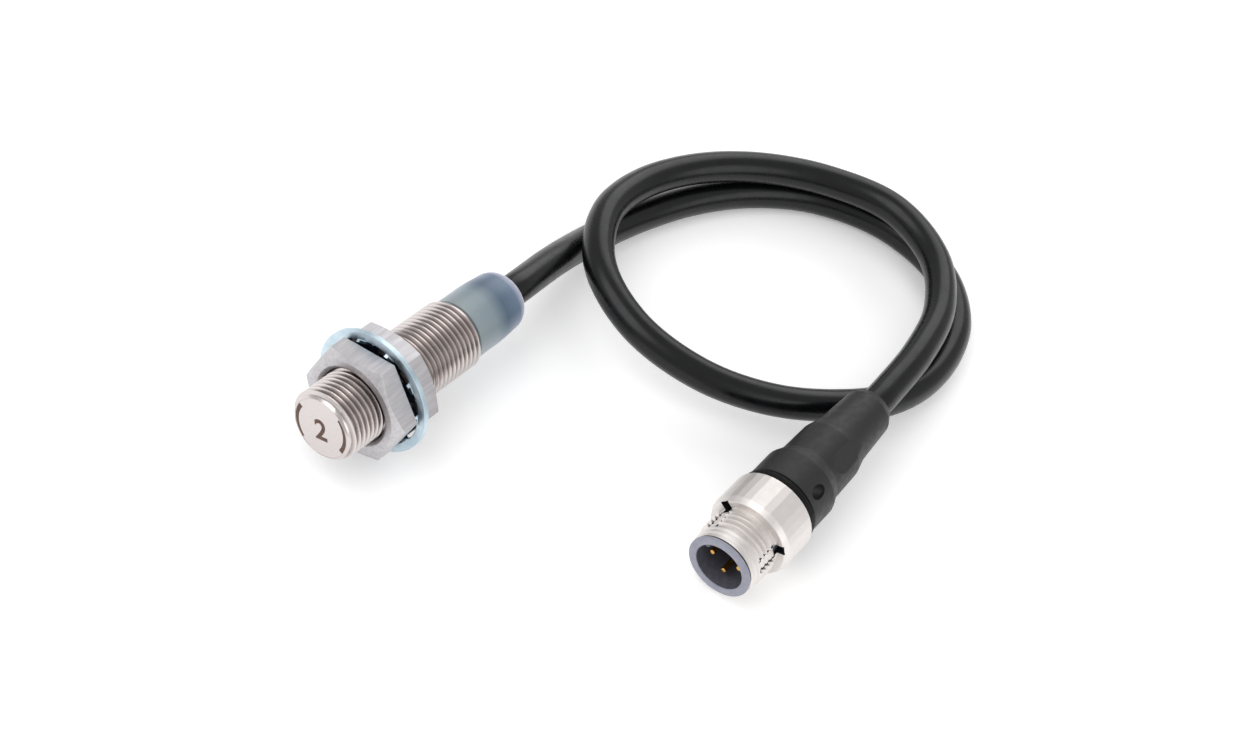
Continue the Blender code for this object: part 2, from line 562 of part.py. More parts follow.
def build_grip(frame, pin_rear):
    """Over-moulded grip and boot, with the seal and inner mould that it covers."""
    seal_front = COLLAR_REAR + GAP
    grip_front = INSULATOR_LENGTH + GAP
    ring("plug_seal", COLLAR_HOLE, PLUG_SEAL_DIAMETER / 2, seal_front, grip_front - GAP, frame,
         "rubber_black", FINE_STEPS)
    mould_rear = grip_front + MOULD_LENGTH
    ring("inner_mould", MOULD_HOLE / 2, INSULATOR_DIAMETER / 2, grip_front, mould_rear, frame, "nylon_white")
    wide = GRIP_DIAMETER / 2
    turned("plug_grip", [
        (COLLAR_HOLE, grip_front), (wide, grip_front), (wide, GRIP_WIDE_END),
        (GRIP_NECK_DIAMETER / 2, GRIP_NECK_START), (GRIP_NECK_END_DIAMETER / 2, GRIP_NECK_END),
        (BOOT_DIAMETER / 2, BOOT_START), (BOOT_END_DIAMETER / 2, BOOT_TAPER_END),
        (CABLE_HOLE + BOOT_MOUTH_WALL, BOOT_END), (CABLE_HOLE, BOOT_END), (CABLE_HOLE, mould_rear + GAP), (COLLAR_HOLE, mould_rear + GAP),
    ], frame, "grip_black", FINE_STEPS)
    jacket_end = BOOT_END - JACKET_INSIDE_PLUG - GAP
    for number, colour in enumerate(WIRE_COLOURS):
        angle = PIN_TURN + number * FULL_TURN / PIN_COUNT
        inner = WIRE_CIRCLE / 2 + WIRE_RADIUS / 2
        points = [around(PIN_CIRCLE / 2, angle, pin_rear + GAP), around(inner, angle, grip_front),
                  around(inner, angle, mould_rear), around(inner, angle, jacket_end)]
        tube(f"plug_wire_{colour}", points, WIRE_RADIUS, 2, frame, f"wire_{colour}")


def smooth_route(route, spacing):
    """Evenly spaced points on a Catmull-Rom curve through the route's own points."""
    fine = []
    for i in range(len(route) - 1):
        before = route[max(i - 1, 0)]
        start = route[i]
        end = route[i + 1]
        after = route[min(i + 2, len(route) - 1)]
        for part in range(20):
            t = part / 20
            fine.append(0.5 * (2 * start + (end - before) * t
                               + (2 * before - 5 * start + 4 * end - after) * t ** 2
                               + (3 * start - before - 3 * end + after) * t ** 3))
    fine.append(route[-1])
    lengths = [0.0]
    for a, b in zip(fine, fine[1:]):
        lengths.append(lengths[-1] + (b - a).length)
    count = round(lengths[-1] / spacing)
    points = []
    place = 0
    for number in range(count + 1):
        wanted = lengths[-1] * number / count
        while place < len(fine) - 2 and lengths[place + 1] < wanted:
            place += 1
        share = (wanted - lengths[place]) / (lengths[place + 1] - lengths[place])
        points.append(fine[place].lerp(fine[place + 1], share))
    return points


def build_cable(plug_frame):
    """The free cable, from inside the cap to inside the boot."""
    cap_end = Vector((CAP_REAR - SENSOR_MIDDLE, 0, AXIS_HEIGHT))
    route = [cap_end + Vector((along, 0, 0)) for along in (-JACKET_INSIDE_CAP, 0, CABLE_LEAD)]
    for behind, sideways, height in CABLE_ROUTE:
        route.append(Vector((cap_end.x + behind * MM, sideways * MM, height * MM)))
    for beyond in (CABLE_LEAD, 0, -JACKET_INSIDE_PLUG / 2, -JACKET_INSIDE_PLUG):
        route.append(plug_frame.matrix_world @ Vector((0, 0, BOOT_END + beyond)))
    tube("cable_jacket", smooth_route(route, CABLE_POINT_SPACING), CABLE_RADIUS, 4, None, "jacket_black")


clear_scene()
pieces = new_collection("proximity_sensor")
cutters = new_collection("cutters")
sensor_frame = add_frame("sensor_axis", (-SENSOR_MIDDLE, 0, AXIS_HEIGHT), (0, math.pi / 2, 0))
plug_place = (CAP_REAR - SENSOR_MIDDLE + PLUG_BEHIND_CAP, PLUG_SIDEWAYS, PLUG_HEIGHT)
plug_frame = add_frame("plug_axis", plug_place, (0, math.pi / 2 - PLUG_TILT, PLUG_YAW))
bpy.context.view_layer.update()

build_barrel(sensor_frame)
build_cap(sensor_frame, build_board(sensor_frame, build_coil(sensor_frame)))
build_nut("front_nut", FRONT_NUT_PLACE, FRONT_NUT_TURN, -1, sensor_frame)
build_washer(sensor_frame)
build_nut("rear_nut", REAR_NUT_PLACE, REAR_NUT_TURN, 1, sensor_frame)
pin_rear = build_insulator(plug_frame)
build_collar(plug_frame)
build_grip(plug_frame, pin_rear)
build_cable(plug_frame)
shading = smooth_by_angle()
for obj in pieces.objects:
    if obj.type == "MESH":
        obj.modifiers.new("shading", "NODES").node_group = shading
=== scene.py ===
# Looks of a cylindrical proximity sensor with a short cable and a round screw plug.
# Piece sizes are in millimetres along each piece's own axis and are turned to metres when placed.

import json
import math

import bmesh
import bpy
from mathutils import Euler, Matrix, Vector


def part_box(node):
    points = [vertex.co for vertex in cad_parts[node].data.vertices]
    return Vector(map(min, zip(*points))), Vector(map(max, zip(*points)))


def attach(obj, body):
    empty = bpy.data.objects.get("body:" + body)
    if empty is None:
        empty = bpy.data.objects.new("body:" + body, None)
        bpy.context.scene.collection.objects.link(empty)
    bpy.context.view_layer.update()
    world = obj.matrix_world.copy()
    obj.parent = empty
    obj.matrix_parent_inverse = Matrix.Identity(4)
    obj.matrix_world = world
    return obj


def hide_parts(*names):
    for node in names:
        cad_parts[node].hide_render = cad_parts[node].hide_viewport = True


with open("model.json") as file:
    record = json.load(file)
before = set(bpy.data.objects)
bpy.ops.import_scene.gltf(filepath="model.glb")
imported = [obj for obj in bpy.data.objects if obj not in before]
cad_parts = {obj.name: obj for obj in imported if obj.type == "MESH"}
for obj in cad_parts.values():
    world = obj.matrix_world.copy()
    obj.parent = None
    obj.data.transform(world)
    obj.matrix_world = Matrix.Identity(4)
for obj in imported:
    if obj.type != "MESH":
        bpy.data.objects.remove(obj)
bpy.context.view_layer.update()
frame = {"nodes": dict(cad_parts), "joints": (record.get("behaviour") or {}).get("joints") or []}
print("frame loaded")

millimetre = 0.001
fullTurn = 2 * math.pi
barrelLow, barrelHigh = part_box("sensor_barrel")
sensorStart = Vector((barrelLow.x, (barrelLow.y + barrelHigh.y) / 2, (barrelLow.z + barrelHigh.z) / 2))
sensorPlace = (Matrix.Translation(sensorStart) @ Matrix.Rotation(math.pi / 2, 4, "Y")
               @ Matrix.Scale(millimetre, 4))
collarJoint = next(joint for joint in frame["joints"] if joint["name"] == "collar_spin")
plugAxis = Vector(collarJoint["axis"]).normalized()
plugTilt = math.asin(plugAxis.z)
plugYaw = math.atan2(plugAxis.y, plugAxis.x)
plugPlace = (Matrix.Translation(collarJoint["pos_m"])
             @ Euler((0, math.pi / 2 - plugTilt, plugYaw)).to_matrix().to_4x4()
             @ Matrix.Scale(millimetre, 4))


def linearColour(hexText):
    parts = [int(hexText[i:i + 2], 16) / 255 for i in (1, 3, 5)]
    return (*(c / 12.92 if c <= 0.04045 else ((c + 0.055) / 1.055) ** 2.4 for c in parts), 1.0)


def addNode(material, kind, settings=None, values=None, links=None):
    node = material.node_tree.nodes.new(kind)
    for name, value in (settings or {}).items():
        setattr(node, name, value)
    for name, value in (values or {}).items():
        node.inputs[name].default_value = value
    for name, source in (links or {}).items():
        material.node_tree.links.new(source, node.inputs[name])
    return node


def newFinish(name, hexText, roughness, metallic=0.0, **sockets):
    material = bpy.data.materials.new(name)
    material.use_nodes = True
    shader = material.node_tree.nodes["Principled BSDF"]
    shader.inputs["Base Color"].default_value = linearColour(hexText)
    shader.inputs["Roughness"].default_value = roughness
    shader.inputs["Metallic"].default_value = metallic
    for socket, value in sockets.items():
        shader.inputs[socket.replace("_", " ")].default_value = value
    return material, shader


def placedCoordinates(material, stretch=(1, 1, 1), turn=(0, 0, 0), centre=(0, 0, 0)):
    # object coordinates with their origin at centre, turned and stretched
    spot = addNode(material, "ShaderNodeTexCoord").outputs["Object"]
    moved = addNode(material, "ShaderNodeMapping", {"vector_type": "TEXTURE"},
                    {"Location": centre, "Rotation": turn}, {"Vector": spot})
    return addNode(material, "ShaderNodeMapping", None, {"Scale": stretch},
                   {"Vector": moved.outputs["Vector"]})


def varyColour(material, shader, colours, size, stretch=(1, 1, 1), turn=(0, 0, 0), detail=3.0):
    # base colour drifts between hex colours over patches of the given size in mm
    spot = placedCoordinates(material, stretch, turn)
    noise = addNode(material, "ShaderNodeTexNoise", None, {"Scale": 1000 / size, "Detail": detail},
                    {"Vector": spot.outputs["Vector"]})
    ramp = addNode(material, "ShaderNodeValToRGB", None, None, {"Fac": noise.outputs["Fac"]})
    ramp.color_ramp.elements[0].position = 0.35
    ramp.color_ramp.elements[0].color = linearColour(colours[0])
    ramp.color_ramp.elements[1].position = 0.65
    ramp.color_ramp.elements[1].color = linearColour(colours[1])
    material.node_tree.links.new(ramp.outputs["Color"], shader.inputs["Base Color"])


def varyRoughness(material, shader, low, high, size, stretch=(1, 1, 1), turn=(0, 0, 0)):
    spot = placedCoordinates(material, stretch, turn)
    noise = addNode(material, "ShaderNodeTexNoise", None, {"Scale": 1000 / size, "Detail": 2.0},
                    {"Vector": spot.outputs["Vector"]})
    spread = addNode(material, "ShaderNodeMapRange", None,
                     {"From Min": 0.3, "From Max": 0.7, "To Min": low, "To Max": high},
                     {"Value": noise.outputs["Fac"]})
    material.node_tree.links.new(spread.outputs["Result"], shader.inputs["Roughness"])


def addBump(material, shader, size, height, stretch=(1, 1, 1), turn=(0, 0, 0), strength=0.5):
    # a fine grain, size and height in mm
    spot = placedCoordinates(material, stretch, turn)
    noise = addNode(material, "ShaderNodeTexNoise", None, {"Scale": 1000 / size, "Detail": 2.0},
                    {"Vector": spot.outputs["Vector"]})
    bump = addNode(material, "ShaderNodeBump", None, {"Strength": strength, "Distance": height * millimetre},
                   {"Height": noise.outputs["Fac"]})
    material.node_tree.links.new(bump.outputs["Normal"], shader.inputs["Normal"])


def roundShape(profile, steps=96):
    # turns a profile of (radius, distance along) pairs into a closed shape
    shape = bmesh.new()
    points = [shape.verts.new((radius, 0, along)) for radius, along in profile]
    edges = [shape.edges.new(pair) for pair in zip(points, points[1:])]
    if profile[0][0] > 0 or profile[-1][0] > 0:
        edges.append(shape.edges.new((points[-1], points[0])))
    bmesh.ops.spin(shape, geom=points + edges, cent=(0, 0, 0), axis=(0, 0, 1), angle=fullTurn,
                   steps=steps, use_merge=True, use_duplicate=False)
    bmesh.ops.remove_doubles(shape, verts=shape.verts, dist=0.0005)
    bmesh.ops.recalc_face_normals(shape, faces=shape.faces)
    return shape


# shares of one pitch at which the thread's flanks start and end
threadForm = {"riseStart": 0.16, "riseEnd": 0.44, "fallStart": 0.56, "fallEnd": 0.84}


def threadedShape(size, start, end, steps=72):
    # open sleeve with a right-hand helical thread, cut flat at both ends
    root = size["threadDiameter"] / 2 - size["threadDepth"]
    crest = size["threadDiameter"] / 2
    pitch = size["pitch"]
    outline = [(root, 0), (root, threadForm["riseStart"]), (crest, threadForm["riseEnd"]),
               (crest, threadForm["fallStart"]), (root, threadForm["fallEnd"]), (root, 1)]
    shape = bmesh.new()
    first = start - 2 * pitch
    points = [shape.verts.new((radius, 0, first + share * pitch)) for radius, share in outline]
    edges = [shape.edges.new(pair) for pair in zip(points, points[1:])]
    turns = math.ceil((end - start) / pitch) + 4
    bmesh.ops.spin(shape, geom=points + edges, cent=(0, 0, 0), axis=(0, 0, 1), angle=fullTurn * turns,
                   dvec=(0, 0, pitch / steps), steps=steps * turns, use_merge=False, use_duplicate=False)
    bmesh.ops.remove_doubles(shape, verts=shape.verts, dist=0.002)
    for along, removed in ((start, "clear_inner"), (end, "clear_outer")):
        bmesh.ops.bisect_plane(shape, geom=shape.verts[:] + shape.edges[:] + shape.faces[:], dist=0.0001,
                               plane_co=(0, 0, along), plane_no=(0, 0, 1), **{removed: True})
    return shape


def limitRadius(shape, widest):
    # pulls every point in to the greatest radius allowed at its place along the axis
    for point in shape.verts:
        radius = math.hypot(point.co.x, point.co.y)
        allowed = widest(point.co.z, math.atan2(point.co.y, point.co.x))
        if radius > allowed:
            point.co.x *= allowed / radius
            point.co.y *= allowed / radius


def openEdges(shape, along):
    return [edge for edge in shape.edges if edge.is_boundary
            and all(abs(point.co.z - along) < 0.01 for point in edge.verts)]


def softenEdges(shape, width, segments=2, sharpest=25):
    limit = math.radians(sharpest)
    edges = [edge for edge in shape.edges
             if len(edge.link_faces) == 2 and edge.calc_face_angle(0) > limit]
    bmesh.ops.bevel(shape, geom=edges, offset=width, offset_type="OFFSET", segments=segments,
                    profile=0.5, affect="EDGES", material=-1, clamp_overlap=True)


def combineShapes(shape, tool, operation):
    holders = []
    for part in (shape, tool):
        mesh = bpy.data.meshes.new("shaping")
        bmesh.ops.recalc_face_normals(part, faces=part.faces)
        part.to_mesh(mesh)
        part.free()
        holder = bpy.data.objects.new("shaping", mesh)
        bpy.context.scene.collection.objects.link(holder)
        holders.append(holder)
    modifier = holders[0].modifiers.new("combine", "BOOLEAN")
    modifier.operation = operation
    modifier.solver = "EXACT"
    modifier.object = holders[1]
    bpy.context.view_layer.update()
    evaluated = holders[0].evaluated_get(bpy.context.evaluated_depsgraph_get())
    result = bmesh.new()
    result.from_mesh(evaluated.to_mesh())
    evaluated.to_mesh_clear()
    for holder in holders:
        bpy.data.objects.remove(holder, do_unlink=True)
    return result


def placePiece(name, shape, place, material, body, nodes, sharpAngle=35, inner=None):
    bmesh.ops.transform(shape, matrix=place, verts=shape.verts)
    bmesh.ops.recalc_face_normals(shape, faces=shape.faces)
    mesh = bpy.data.meshes.new(name)
    shape.to_mesh(mesh)
    shape.free()
    mesh.shade_smooth()
    mesh.set_sharp_from_angle(angle=math.radians(sharpAngle))
    mesh.materials.append(material)
    if inner:
        mesh.materials.append(inner)
    piece = bpy.data.objects.new(name, mesh)
    bpy.context.scene.collection.objects.link(piece)
    evened = piece.modifiers.new("evenNormals", "WEIGHTED_NORMAL")
    evened.keep_sharp = True
    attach(piece, body)
    if nodes:
        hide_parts(*nodes)
    return piece


# finishes of the metal pieces

# turned stainless steel: fine rings from the tool, warm grey in its reflections
barrelSteel, shader = newFinish("turnedStainlessSteel", "#D0C9C7", 0.27, 1.0)
varyRoughness(barrelSteel, shader, 0.24, 0.30, 2.5)
addBump(barrelSteel, shader, 0.12, 0.0015, (1, 0.02, 0.02))
# the same steel in the thread: darker roots stand in for the deep shade of a finer thread form
threadTint = {"root": 5.5, "crest": 5.95, "rootColour": "#A69B98", "crestColour": "#D8D2D0"}
threadSteel, shader = newFinish("turnedThreadSteel", threadTint["crestColour"], 0.24, 1.0)
spot = placedCoordinates(threadSteel, (0, 1, 1), (0, 0, 0), sensorStart)
radius = addNode(threadSteel, "ShaderNodeVectorMath", {"operation": "LENGTH"}, None,
                 {"Vector": spot.outputs["Vector"]})
share = addNode(threadSteel, "ShaderNodeMapRange", None,
                {"From Min": threadTint["root"] * millimetre, "From Max": threadTint["crest"] * millimetre},
                {"Value": radius.outputs["Value"]})
ramp = addNode(threadSteel, "ShaderNodeValToRGB", None, None, {"Fac": share.outputs["Result"]})
ramp.color_ramp.elements[0].color = linearColour(threadTint["rootColour"])
ramp.color_ramp.elements[1].color = linearColour(threadTint["crestColour"])
threadSteel.node_tree.links.new(ramp.outputs["Color"], shader.inputs["Base Color"])
varyRoughness(threadSteel, shader, 0.20, 0.28, 2.5)
# machined stainless steel of the nuts: lighter and duller, faint mill lines
nutSteel, shader = newFinish("machinedStainlessSteel", "#C5C3C6", 0.42, 1.0)
varyColour(nutSteel, shader, ("#BEBBBE", "#CCCACD"), 0.5, (0.12, 1, 1))
varyRoughness(nutSteel, shader, 0.40, 0.50, 1.2, (0.2, 1, 1))
addBump(nutSteel, shader, 0.15, 0.004, (0.15, 1, 1))
# bright zinc plating with a blue passivation
zincPlate, shader = newFinish("bluePassivatedZinc", "#C6D8E2", 0.27, 1.0)
varyColour(zincPlate, shader, ("#BCD0DC", "#D2E2EA"), 3.0)
varyRoughness(zincPlate, shader, 0.34, 0.46, 0.8)
# dark finish that stands in for the shade between the two nuts, on the washer's teeth
darkZinc, shader = newFinish("shadedZincTeeth", "#1B2430", 0.3, 0.8)
varyColour(darkZinc, shader, ("#151D27", "#26323F"), 1.0)
# satin nickel plating over turned brass
nickelPlate, shader = newFinish("satinNickelPlate", "#E4DFDC", 0.46, 1.0)
varyRoughness(nickelPlate, shader, 0.42, 0.52, 1.0)
addBump(nickelPlate, shader, 0.2, 0.001, (0.08, 1, 1), (0, -plugTilt, plugYaw))
# dark finish that stands in for the unlit inside of the collar's bore and windows, and paints shade into the
# grooves along its slots
darkBore, shader = newFinish("shadedCollarBore", "#15161A", 0.6, 0.3)
varyColour(darkBore, shader, ("#111216", "#1C1E22"), 0.6)
# hard gold plating of the contact pins
goldPlate, shader = newFinish("goldPlate", "#D9A95A", 0.20, 1.0)
varyRoughness(goldPlate, shader, 0.15, 0.28, 0.4)
# tin-plated brass
tinPlate, shader = newFinish("tinPlate", "#B9BBBD", 0.35, 1.0)
varyRoughness(tinPlate, shader, 0.30, 0.42, 0.6)
# oxide film that a marking laser leaves on steel: brown and dull
laserOxide, shader = newFinish("laserOxide", "#5B4339", 0.55, 0.3)
varyColour(laserOxide, shader, ("#4E382F", "#6A5044"), 0.3)

# finishes of the plastic and rubber pieces

# matt moulded PVC: black with a soft sheen
cablePlastic, shader = newFinish("mouldedBlackPvc", "#08090B", 0.27, Specular_IOR_Level=0.36)
varyRoughness(cablePlastic, shader, 0.24, 0.32, 2.0)
addBump(cablePlastic, shader, 0.25, 0.006)
# moulded polyurethane grip: dark grey, spark-eroded grain
gripPlastic, shader = newFinish("mouldedPolyurethane", "#19191A", 0.50)
varyRoughness(gripPlastic, shader, 0.44, 0.58, 1.0)
addBump(gripPlastic, shader, 0.22, 0.010)
# grey glass-filled nylon
greyNylon, shader = newFinish("greyGlassFilledNylon", "#8F909E", 0.42)
varyColour(greyNylon, shader, ("#8A8B99", "#9596A4"), 0.8)
addBump(greyNylon, shader, 0.2, 0.004)
# the socket's mould-textured inside, duller, its colour darkened as painted shade
socketNylonShade, shader = newFinish("texturedSocketNylonPaintedShade", "#55555F", 0.6)
varyColour(socketNylonShade, shader, ("#50505A", "#5B5B66"), 0.8)
addBump(socketNylonShade, shader, 0.25, 0.008)
# nitrile rubber
blackRubber, shader = newFinish("nitrileRubber", "#050506", 0.6, Specular_IOR_Level=0.2)
varyRoughness(blackRubber, shader, 0.5, 0.7, 0.5)
# frosted polyamide cap: colours along its length are painted in for what a real one lets through, darker
# where its dark inside would show and painted light at its thin rounded end
capTint = {"start": 31.2, "end": 43.5, "colours": ((0.0, "#94A1A5"), (0.34, "#8898A0"), (0.56, "#566B80"),
                                                   (0.82, "#6C7F97"), (0.91, "#B4B7CA"), (1.0, "#DCDAE8"))}
frostedCap, shader = newFinish("frostedPolyamide", "#8C9BA2", 0.36, Transmission_Weight=0.12, IOR=1.5,
                               Subsurface_Weight=0.2, Subsurface_Scale=0.001, Sheen_Weight=1.0,
                               Sheen_Roughness=0.28, Sheen_Tint=linearColour("#DCDAEA"))
spot = placedCoordinates(frostedCap)
split = addNode(frostedCap, "ShaderNodeSeparateXYZ", None, None, {"Vector": spot.outputs["Vector"]})
share = addNode(frostedCap, "ShaderNodeMapRange", None,
                {"From Min": sensorStart.x + capTint["start"] * millimetre,
                 "From Max": sensorStart.x + capTint["end"] * millimetre}, {"Value": split.outputs["X"]})
ramp = addNode(frostedCap, "ShaderNodeValToRGB", None, None, {"Fac": share.outputs["Result"]})
for number, (position, hexText) in enumerate(capTint["colours"]):
    if number < 2:
        stop = ramp.color_ramp.elements[number]
        stop.position = position
    else:
        stop = ramp.color_ramp.elements.new(position)
    stop.color = linearColour(hexText)
frostedCap.node_tree.links.new(ramp.outputs["Color"], shader.inputs["Base Color"])
addBump(frostedCap, shader, 0.3, 0.003)
print("finishes made")

# barrel
barrel = {
    "length": 30.9, "threadDiameter": 12.0, "threadDepth": 0.55, "pitch": 1.0, "faceRadius": 5.15,
    "frontChamfer": 0.85, "rearRadius": 5.35, "rearSlope": 1.2, "bore": 4.9, "faceThickness": 0.8,
    "rim": 0.04, "groove": 0.04, "grooveWall": 0.02, "grooveDepth": 0.06, "discDepth": 0.03,
    "endMargin": 0.05, "boreMargin": 0.1,
}


def widestBarrel(along, angle):
    front = barrel["faceRadius"] + along
    rear = barrel["rearRadius"] + (barrel["length"] - along) * barrel["rearSlope"]
    return max(min(front, rear), barrel["faceRadius"])


shape = threadedShape(barrel, 0, barrel["length"])
limitRadius(shape, widestBarrel)
face = bmesh.ops.edgeloop_fill(shape, edges=openEdges(shape, 0))["faces"]
bmesh.ops.recalc_face_normals(shape, faces=shape.faces)
for width, depth in ((barrel["rim"], 0), (barrel["grooveWall"], -barrel["grooveDepth"]),
                     (barrel["groove"], 0),
                     (barrel["grooveWall"], barrel["grooveDepth"] - barrel["discDepth"])):
    bmesh.ops.inset_region(shape, faces=face, thickness=width, depth=depth, use_even_offset=True)
rear = bmesh.ops.edgeloop_fill(shape, edges=openEdges(shape, barrel["length"]))["faces"]
bmesh.ops.recalc_face_normals(shape, faces=shape.faces)
bmesh.ops.inset_region(shape, faces=rear, thickness=barrel["rearRadius"] - barrel["bore"], depth=0,
                       use_even_offset=True)
inside = bmesh.ops.extrude_face_region(shape, geom=rear)["geom"]
bmesh.ops.translate(shape, verts=[item for item in inside if isinstance(item, bmesh.types.BMVert)],
                    vec=(0, 0, barrel["faceThickness"] - barrel["length"]))
bmesh.ops.delete(shape, geom=rear, context="FACES_ONLY")
for item in shape.faces:
    spot = item.calc_center_median()
    onThread = barrel["frontChamfer"] < spot.z < barrel["length"] - barrel["endMargin"]
    if onThread and math.hypot(spot.x, spot.y) > barrel["bore"] + barrel["boreMargin"]:
        item.material_index = 1
placePiece("barrel", shape, sensorPlace, barrelSteel, "sensor", ["sensor_barrel"],
           inner=threadSteel)

# laser marks on the sensing face
marks = {"arcOuter": 4.97, "arcThick": 0.75, "arcThin": 0.38, "arcHalf": math.radians(38),
         "turn": math.radians(23), "numeral": "2", "height": 3.7, "width": 2.35, "stroke": 0.022,
         "centre": (0.1, -0.35), "lift": 0.01}
faceLevel = barrel["discDepth"] - marks["lift"]
# x to the right and y up as the face is looked at, z towards the viewer
faceView = sensorPlace @ Matrix(((0, -1, 0, 0), (-1, 0, 0, 0), (0, 0, -1, faceLevel), (0, 0, 0, 1)))
shape = bmesh.new()
for side in (0, 1):
    middle = marks["turn"] + side * math.pi
    points = [shape.verts.new((radius * math.cos(middle - marks["arcHalf"]),
                               radius * math.sin(middle - marks["arcHalf"]), 0))
              for radius in (marks["arcOuter"] - marks["arcThick"], marks["arcOuter"])]
    edge = shape.edges.new(points)
    bmesh.ops.spin(shape, geom=points + [edge], cent=(0, 0, 0), axis=(0, 0, 1),
                   angle=2 * marks["arcHalf"], steps=24, use_merge=False, use_duplicate=False)
# each arc thins towards its far end
for point in shape.verts:
    radius = math.hypot(point.co.x, point.co.y)
    if radius < marks["arcOuter"] - 0.01:
        fromStart = (math.atan2(point.co.y, point.co.x) - marks["turn"] + marks["arcHalf"]) % math.pi
        share = min(1, fromStart / (2 * marks["arcHalf"]))
        wanted = marks["arcOuter"] - marks["arcThick"] + (marks["arcThick"] - marks["arcThin"]) * share
        point.co *= wanted / radius
placePiece("faceArcs", shape, faceView, laserOxide, "sensor", [])
numeralCurve = bpy.data.curves.new("numeral", "FONT")
numeralCurve.body = marks["numeral"]
numeralCurve.offset = marks["stroke"]
numeral = bpy.data.objects.new("numeral", numeralCurve)
bpy.context.scene.collection.objects.link(numeral)
bpy.context.view_layer.update()
shape = bmesh.new()
shape.from_mesh(numeral.to_mesh())
numeral.to_mesh_clear()
bpy.data.objects.remove(numeral, do_unlink=True)
lows = [min(point.co[i] for point in shape.verts) for i in (0, 1)]
highs = [max(point.co[i] for point in shape.verts) for i in (0, 1)]
bmesh.ops.translate(shape, verts=shape.verts, vec=(-(lows[0] + highs[0]) / 2, -(lows[1] + highs[1]) / 2, 0))
bmesh.ops.scale(shape, verts=shape.verts,
                vec=(marks["width"] / (highs[0] - lows[0]), marks["height"] / (highs[1] - lows[1]), 1))
bmesh.ops.transform(shape, matrix=Matrix.Translation((*marks["centre"], 0))
                    @ Matrix.Rotation(marks["turn"], 4, "Z"), verts=shape.verts)
placePiece("faceNumeral", shape, faceView, laserOxide, "sensor", [])
print("barrel and its marks made")

# nuts
nut = {"acrossFlats": 17.0, "thickness": 4.0, "bearing": 8.075, "chamfer": math.radians(30),
       "hole": 6.3, "countersink": 0.6, "edge": 0.12}
nutPlaces = {"front_nut": (6.7, math.radians(15), -1, "nut_front"),
             "rear_nut": (12.75, math.radians(20), 1, "nut_rear")}


def hexagonRadius(angle):
    fromFlat = (angle % (math.pi / 3)) - math.pi / 6
    return nut["acrossFlats"] / 2 / math.cos(fromFlat)


def makeNut(start, turn, outward):
    half = nut["thickness"] / 2
    beyond = nut["acrossFlats"] * 0.6
    low = nut["hole"] + nut["countersink"]
    shape = roundShape([(low, half), (nut["bearing"], half), (beyond, half), (beyond, -half), (low, -half),
                        (nut["hole"], nut["countersink"] - half), (nut["hole"], half - nut["countersink"])],
                       144)
    limitRadius(shape, lambda along, angle: hexagonRadius(angle))
    slope = math.tan(nut["chamfer"])
    for point in shape.verts:
        radius = math.hypot(point.co.x, point.co.y)
        if point.co.z > 0 and radius > nut["bearing"] + 0.01:
            point.co.z = half - (radius - nut["bearing"]) * slope
    softenEdges(shape, nut["edge"], 2, 20)
    flip = Matrix.Scale(-1, 4, (0, 0, 1)) if outward < 0 else Matrix.Identity(4)
    bmesh.ops.transform(shape, matrix=Matrix.Translation((0, 0, start + half))
                        @ Matrix.Rotation(turn, 4, "Z") @ flip, verts=shape.verts)
    return shape


for node, (start, turn, outward, body) in nutPlaces.items():
    name = "frontNut" if outward < 0 else "rearNut"
    placePiece(name, makeNut(start, turn, outward), sensorPlace, nutSteel, body, [node], 25)
print("nuts made")

# lock washer
washer = {"outer": 10.5, "inner": 9.1, "start": 11.55, "thickness": 0.9, "teeth": 10, "stepsPerTooth": 10,
          "toothSteps": 6, "tip": 6.4, "neck": 8.75, "twist": math.radians(13), "forward": 0.3,
          "turn": math.radians(11), "toothThickness": 0.7, "edge": 0.1, "shadeMargin": 0.15}


def makeWasher():
    steps = washer["teeth"] * washer["stepsPerTooth"]
    half = washer["thickness"] / 2
    shape = roundShape([(washer["inner"], -half), (washer["outer"], -half), (washer["outer"], half),
                        (washer["inner"], half)], steps)
    inner = {}
    for item in shape.faces:
        centre = item.calc_center_median()
        if math.hypot(centre.x, centre.y) < washer["inner"] + 0.01:
            step = int((math.atan2(centre.y, centre.x) % fullTurn) / fullTurn * steps)
            inner[step] = item
    for number in range(washer["teeth"]):
        first = number * washer["stepsPerTooth"]
        faces = [inner[first + i] for i in range(washer["toothSteps"])]
        angle = (first + washer["toothSteps"] / 2) * fullTurn / steps
        outward = Vector((math.cos(angle), math.sin(angle), 0))
        thinning = washer["toothThickness"] / washer["thickness"]
        for reach, twist, forward, thin in (
                (washer["neck"], washer["twist"], -washer["forward"], thinning),
                (washer["tip"], 0, 0, 1)):
            made = bmesh.ops.extrude_face_region(shape, geom=faces)["geom"]
            bmesh.ops.delete(shape, geom=faces, context="FACES")
            faces = [item for item in made if isinstance(item, bmesh.types.BMFace)]
            points = [item for item in made if isinstance(item, bmesh.types.BMVert)]
            for point in points:
                along = point.co.dot(outward)
                point.co += outward * (reach - along)
            middle = outward * reach
            bmesh.ops.scale(shape, verts=points, vec=(1, 1, thin))
            if twist:
                bmesh.ops.rotate(shape, verts=points, cent=middle,
                                 matrix=Matrix.Rotation(twist, 3, outward))
            bmesh.ops.translate(shape, verts=points, vec=(0, 0, forward))
    softenEdges(shape, washer["edge"], 2, 30)
    for item in shape.faces:
        spot = item.calc_center_median()
        radius = math.hypot(spot.x, spot.y)
        if radius < washer["inner"] - washer["shadeMargin"]:
            item.material_index = 1
    middle = washer["start"] + half
    turn = washer["turn"] - washer["toothSteps"] / 2 * fullTurn / steps
    bmesh.ops.transform(shape, matrix=Matrix.Translation((0, 0, middle)) @ Matrix.Rotation(turn, 4, "Z"),
                        verts=shape.verts)
    return shape


